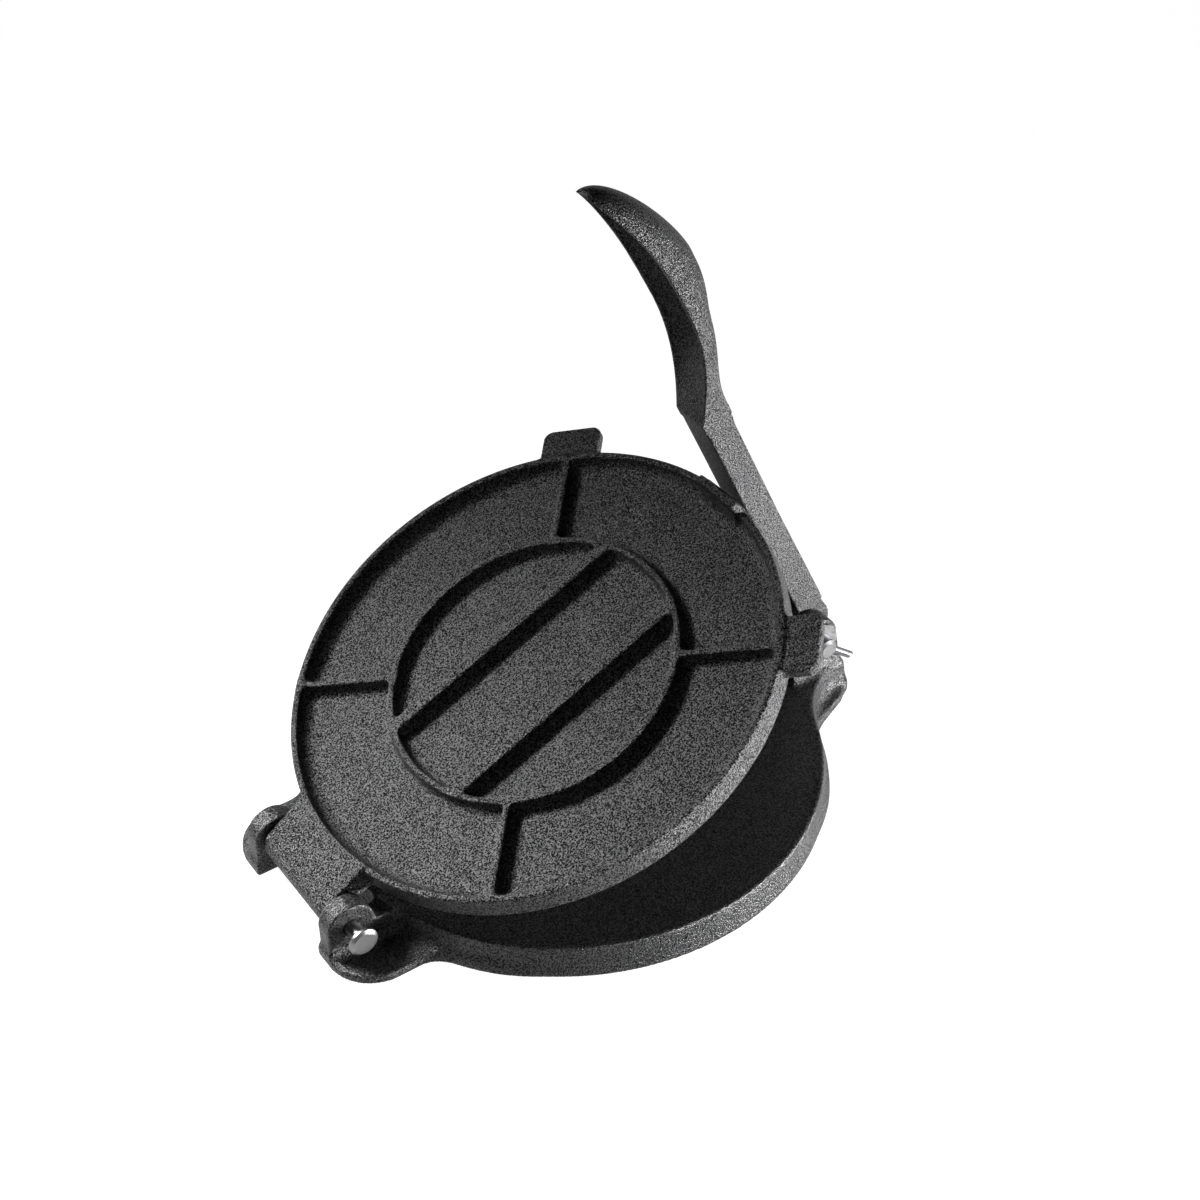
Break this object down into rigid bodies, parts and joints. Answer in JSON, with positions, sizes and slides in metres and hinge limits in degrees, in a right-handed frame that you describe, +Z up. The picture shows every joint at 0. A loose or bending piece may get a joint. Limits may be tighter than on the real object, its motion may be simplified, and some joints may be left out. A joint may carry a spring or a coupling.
{
  "type": "tortilla press",
  "caption": "Cast-iron tortilla press: a round base, a ribbed top plate hinged at one side, and a pivoting lever handle at the other that presses the plate down.",
  "frame": {"origin": "centre of the base disc on the floor plane", "axes": "+Z up, +X from the plate hinge towards the handle pivot, hinge axes along Y"},
  "size_m": [0.2539, 0.2072, 0.2615],
  "materials": {
    "base_iron": "matte",
    "plate_iron": "matte",
    "handle_iron": "satin",
    "pin_steel": "brushed"
  },
  "bodies": {
    "base": {"base": "base_iron", "hinge_pin": "pin_steel", "hinge_split_pin": "pin_steel", "handle_pin": "pin_steel", "handle_washer": "pin_steel", "handle_split_pin": "pin_steel"},
    "plate": {"top_plate": "plate_iron"},
    "lever": {"handle": "handle_iron"}
  },
  "joints": [
    {"name": "plate_hinge", "type": "hinge", "parent": "base", "child": "plate", "pos_m": [-0.1152, 0, 0.0149], "axis": [0, -1, 0], "range_deg": [-23.7, 81]},
    {"name": "handle_pivot", "type": "hinge", "parent": "base", "child": "lever", "pos_m": [0.1117, 0, 0.0302], "axis": [0, 1, 0], "range_deg": [0, 114]}
  ]
}
